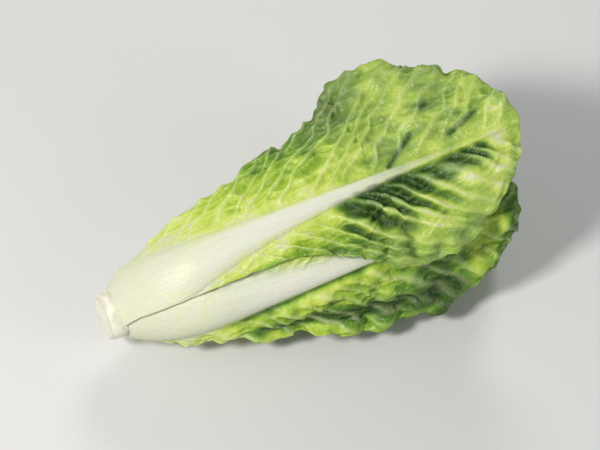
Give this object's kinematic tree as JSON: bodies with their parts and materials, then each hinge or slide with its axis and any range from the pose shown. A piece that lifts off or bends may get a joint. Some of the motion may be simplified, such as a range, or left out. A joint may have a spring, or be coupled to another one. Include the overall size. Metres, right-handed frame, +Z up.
{
  "type": "romaine lettuce head",
  "caption": "Cut romaine lettuce head lying on its side: long nested leaves with thick pale ribs, waved rounded ends and a short cut stem.",
  "frame": {"origin": "on the resting surface, under the middle of the head's box", "axes": "+X along the head from the cut stem to the leaf tips, +Z up from the resting surface"},
  "size_m": [0.203, 0.1004, 0.1012],
  "materials": {
    "stem": "satin",
    "outer_leaf": "satin",
    "middle_leaf": "satin",
    "heart_leaf": "satin"
  },
  "bodies": {
    "root": {"stem": "stem", "leaf_01": "outer_leaf", "leaf_02": "outer_leaf", "leaf_03": "outer_leaf", "leaf_04": "outer_leaf", "leaf_05": "outer_leaf", "leaf_06": "middle_leaf", "leaf_07": "middle_leaf", "leaf_08": "middle_leaf", "leaf_09": "middle_leaf", "leaf_10": "middle_leaf", "leaf_11": "middle_leaf", "leaf_12": "heart_leaf", "leaf_13": "heart_leaf", "leaf_14": "heart_leaf", "leaf_15": "heart_leaf", "leaf_16": "heart_leaf"}
  },
  "joints": []
}
